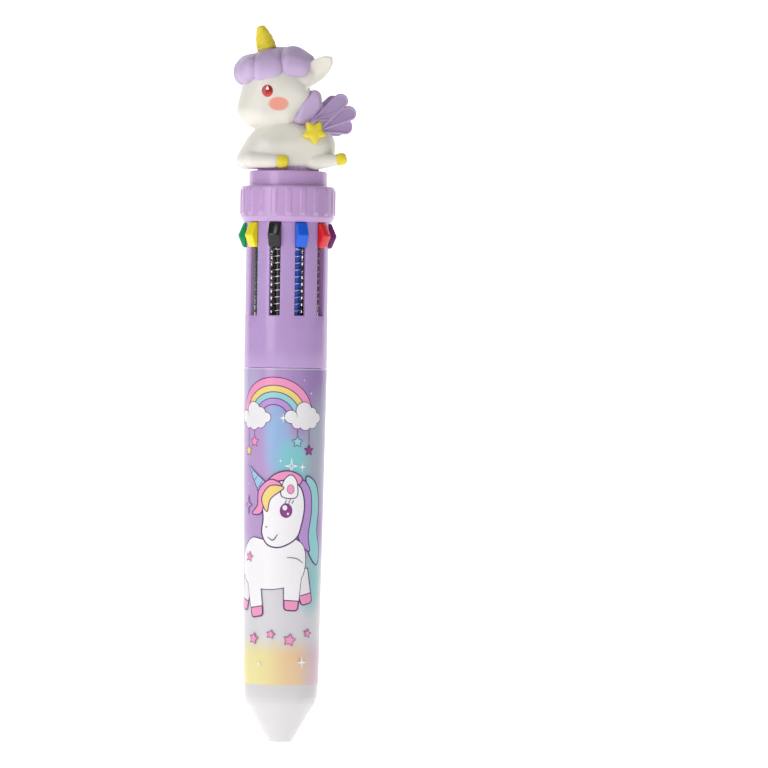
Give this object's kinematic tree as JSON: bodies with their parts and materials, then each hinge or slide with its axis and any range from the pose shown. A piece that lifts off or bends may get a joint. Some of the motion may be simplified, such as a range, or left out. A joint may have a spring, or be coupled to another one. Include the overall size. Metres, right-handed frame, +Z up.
{
  "type": "multicolor click pen",
  "caption": "Thick click pen with coloured sliders in a ring of barrel slots, each driving its own spring-backed refill to one tip, and a small unicorn figure that turns on the cap.",
  "frame": {"origin": "centre of the mouth at the writing end, on the pen's axis", "axes": "+Z up the pen's axis from the writing end to the figure; the figure looks along -X; +Y completes a right-handed frame"},
  "size_m": [0.0259, 0.0216, 0.1551],
  "materials": {
    "barrel_lilac": "moulded, satin gloss",
    "cap_lilac": "moulded, satin gloss",
    "plug_lilac": "moulded, satin gloss",
    "barrel_white": "moulded, gloss",
    "sleeve_print": "printed film, gloss",
    "core_white": "moulded",
    "figure_white": "soft vinyl, satin",
    "figure_hair": "soft vinyl, satin",
    "figure_mane": "soft vinyl, satin",
    "figure_gold": "soft vinyl, satin",
    "point_brass": "turned",
    "spring_steel": "drawn wire",
    "button_green": "moulded, high gloss",
    "ink_green": "tube filled with ink",
    "button_yellow": "moulded, high gloss",
    "ink_yellow": "tube filled with ink",
    "button_black": "moulded, high gloss",
    "ink_black": "tube filled with ink",
    "button_blue": "moulded, high gloss",
    "ink_blue": "tube filled with ink",
    "button_red": "moulded, high gloss",
    "ink_red": "tube filled with ink",
    "button_purple": "moulded, high gloss",
    "ink_purple": "tube filled with ink",
    "button_orange": "moulded, high gloss",
    "ink_orange": "tube filled with ink",
    "button_brown": "moulded, high gloss",
    "ink_brown": "tube filled with ink",
    "button_light_blue": "moulded, high gloss",
    "ink_light_blue": "tube filled with ink",
    "button_pink": "moulded, high gloss",
    "ink_pink": "tube filled with ink"
  },
  "bodies": {
    "pen_body": {"upper_barrel": "barrel_lilac", "lower_barrel": "barrel_white", "printed_sleeve": "sleeve_print", "cap": "cap_lilac", "guide_core": "core_white", "spring_green": "spring_steel", "spring_yellow": "spring_steel", "spring_black": "spring_steel", "spring_blue": "spring_steel", "spring_red": "spring_steel", "spring_purple": "spring_steel", "spring_orange": "spring_steel", "spring_brown": "spring_steel", "spring_light_blue": "spring_steel", "spring_pink": "spring_steel"},
    "figure": {"figure_plug": "plug_lilac", "unicorn_body": "figure_white", "forelock": "figure_hair", "neck_mane": "figure_mane", "horn": "figure_gold", "wing_left": "figure_mane", "wing_right": "figure_mane", "star_left": "figure_gold", "star_right": "figure_gold", "hooves": "figure_gold"},
    "slide_green": {"slider_green": "button_green"},
    "refill_green": {"refill_tube_green": "ink_green", "refill_point_green": "point_brass"},
    "slide_yellow": {"slider_yellow": "button_yellow"},
    "refill_yellow": {"refill_tube_yellow": "ink_yellow", "refill_point_yellow": "point_brass"},
    "slide_black": {"slider_black": "button_black"},
    "refill_black": {"refill_tube_black": "ink_black", "refill_point_black": "point_brass"},
    "slide_blue": {"slider_blue": "button_blue"},
    "refill_blue": {"refill_tube_blue": "ink_blue", "refill_point_blue": "point_brass"},
    "slide_red": {"slider_red": "button_red"},
    "refill_red": {"refill_tube_red": "ink_red", "refill_point_red": "point_brass"},
    "slide_purple": {"slider_purple": "button_purple"},
    "refill_purple": {"refill_tube_purple": "ink_purple", "refill_point_purple": "point_brass"},
    "slide_orange": {"slider_orange": "button_orange"},
    "refill_orange": {"refill_tube_orange": "ink_orange", "refill_point_orange": "point_brass"},
    "slide_brown": {"slider_brown": "button_brown"},
    "refill_brown": {"refill_tube_brown": "ink_brown", "refill_point_brown": "point_brass"},
    "slide_light_blue": {"slider_light_blue": "button_light_blue"},
    "refill_light_blue": {"refill_tube_light_blue": "ink_light_blue", "refill_point_light_blue": "point_brass"},
    "slide_pink": {"slider_pink": "button_pink"},
    "refill_pink": {"refill_tube_pink": "ink_pink", "refill_point_pink": "point_brass"}
  },
  "joints": [
    {"name": "figure_swivel", "type": "hinge", "parent": "pen_body", "child": "figure", "pos_m": [0, 0, 0.1236], "axis": [0, 0, 1], "continuous": true},
    {"name": "click_green", "type": "slide", "parent": "pen_body", "child": "slide_green", "axis": [0, 0, -1], "range_m": [0, 0.0125], "stiffness_N_per_m": 45, "springref_m": -0.008, "deforming": ["spring_green"]},
    {"name": "lean_green", "type": "hinge", "parent": "slide_green", "child": "refill_green", "pos_m": [-0.00591, 0.00104, 0.1095], "axis": [-0.1736, -0.9848, 0], "range_deg": [0, 2.17], "deforming": ["refill_tube_green", "refill_point_green"]},
    {"name": "click_yellow", "type": "slide", "parent": "pen_body", "child": "slide_yellow", "axis": [0, 0, -1], "range_m": [0, 0.0125], "stiffness_N_per_m": 45, "springref_m": -0.008, "deforming": ["spring_yellow"]},
    {"name": "lean_yellow", "type": "hinge", "parent": "slide_yellow", "child": "refill_yellow", "pos_m": [-0.00539, -0.00263, 0.1095], "axis": [0.4384, -0.8988, 0], "range_deg": [0, 2.17], "deforming": ["refill_tube_yellow", "refill_point_yellow"]},
    {"name": "click_black", "type": "slide", "parent": "pen_body", "child": "slide_black", "axis": [0, 0, -1], "range_m": [0, 0.0125], "stiffness_N_per_m": 45, "springref_m": -0.008, "deforming": ["spring_black"]},
    {"name": "lean_black", "type": "hinge", "parent": "slide_black", "child": "refill_black", "pos_m": [-0.00282, -0.0053, 0.1095], "axis": [0.8829, -0.4695, 0], "range_deg": [0, 2.17], "deforming": ["refill_tube_black", "refill_point_black"]},
    {"name": "click_blue", "type": "slide", "parent": "pen_body", "child": "slide_blue", "axis": [0, 0, -1], "range_m": [0, 0.0125], "stiffness_N_per_m": 45, "springref_m": -0.008, "deforming": ["spring_blue"]},
    {"name": "lean_blue", "type": "hinge", "parent": "slide_blue", "child": "refill_blue", "pos_m": [0.00084, -0.00594, 0.1095], "axis": [0.9903, 0.1392, 0], "range_deg": [0, 2.17], "deforming": ["refill_tube_blue", "refill_point_blue"]},
    {"name": "click_red", "type": "slide", "parent": "pen_body", "child": "slide_red", "axis": [0, 0, -1], "range_m": [0, 0.0125], "stiffness_N_per_m": 45, "springref_m": -0.008, "deforming": ["spring_red"]},
    {"name": "lean_red", "type": "hinge", "parent": "slide_red", "child": "refill_red", "pos_m": [0.00417, -0.00432, 0.1095], "axis": [0.7193, 0.6947, 0], "range_deg": [0, 2.17], "deforming": ["refill_tube_red", "refill_point_red"]},
    {"name": "click_purple", "type": "slide", "parent": "pen_body", "child": "slide_purple", "axis": [0, 0, -1], "range_m": [0, 0.0125], "stiffness_N_per_m": 45, "springref_m": -0.008, "deforming": ["spring_purple"]},
    {"name": "lean_purple", "type": "hinge", "parent": "slide_purple", "child": "refill_purple", "pos_m": [0.00591, -0.00104, 0.1095], "axis": [0.1736, 0.9848, 0], "range_deg": [0, 2.17], "deforming": ["refill_tube_purple", "refill_point_purple"]},
    {"name": "click_orange", "type": "slide", "parent": "pen_body", "child": "slide_orange", "axis": [0, 0, -1], "range_m": [0, 0.0125], "stiffness_N_per_m": 45, "springref_m": -0.008, "deforming": ["spring_orange"]},
    {"name": "lean_orange", "type": "hinge", "parent": "slide_orange", "child": "refill_orange", "pos_m": [0.00539, 0.00263, 0.1095], "axis": [-0.4384, 0.8988, 0], "range_deg": [0, 2.17], "deforming": ["refill_tube_orange", "refill_point_orange"]},
    {"name": "click_brown", "type": "slide", "parent": "pen_body", "child": "slide_brown", "axis": [0, 0, -1], "range_m": [0, 0.0125], "stiffness_N_per_m": 45, "springref_m": -0.008, "deforming": ["spring_brown"]},
    {"name": "lean_brown", "type": "hinge", "parent": "slide_brown", "child": "refill_brown", "pos_m": [0.00282, 0.0053, 0.1095], "axis": [-0.8829, 0.4695, 0], "range_deg": [0, 2.17], "deforming": ["refill_tube_brown", "refill_point_brown"]},
    {"name": "click_light_blue", "type": "slide", "parent": "pen_body", "child": "slide_light_blue", "axis": [0, 0, -1], "range_m": [0, 0.0125], "stiffness_N_per_m": 45, "springref_m": -0.008, "deforming": ["spring_light_blue"]},
    {"name": "lean_light_blue", "type": "hinge", "parent": "slide_light_blue", "child": "refill_light_blue", "pos_m": [-0.00084, 0.00594, 0.1095], "axis": [-0.9903, -0.1392, 0], "range_deg": [0, 2.17], "deforming": ["refill_tube_light_blue", "refill_point_light_blue"]},
    {"name": "click_pink", "type": "slide", "parent": "pen_body", "child": "slide_pink", "axis": [0, 0, -1], "range_m": [0, 0.0125], "stiffness_N_per_m": 45, "springref_m": -0.008, "deforming": ["spring_pink"]},
    {"name": "lean_pink", "type": "hinge", "parent": "slide_pink", "child": "refill_pink", "pos_m": [-0.00417, 0.00432, 0.1095], "axis": [-0.7193, -0.6947, 0], "range_deg": [0, 2.17], "deforming": ["refill_tube_pink", "refill_point_pink"]}
  ],
  "couplings": [
    {"joint": "lean_green", "follows": "click_green", "rad_per_m": 3.008},
    {"joint": "lean_yellow", "follows": "click_yellow", "rad_per_m": 3.008},
    {"joint": "lean_black", "follows": "click_black", "rad_per_m": 3.008},
    {"joint": "lean_blue", "follows": "click_blue", "rad_per_m": 3.008},
    {"joint": "lean_red", "follows": "click_red", "rad_per_m": 3.008},
    {"joint": "lean_purple", "follows": "click_purple", "rad_per_m": 3.008},
    {"joint": "lean_orange", "follows": "click_orange", "rad_per_m": 3.008},
    {"joint": "lean_brown", "follows": "click_brown", "rad_per_m": 3.008},
    {"joint": "lean_light_blue", "follows": "click_light_blue", "rad_per_m": 3.008},
    {"joint": "lean_pink", "follows": "click_pink", "rad_per_m": 3.008}
  ]
}
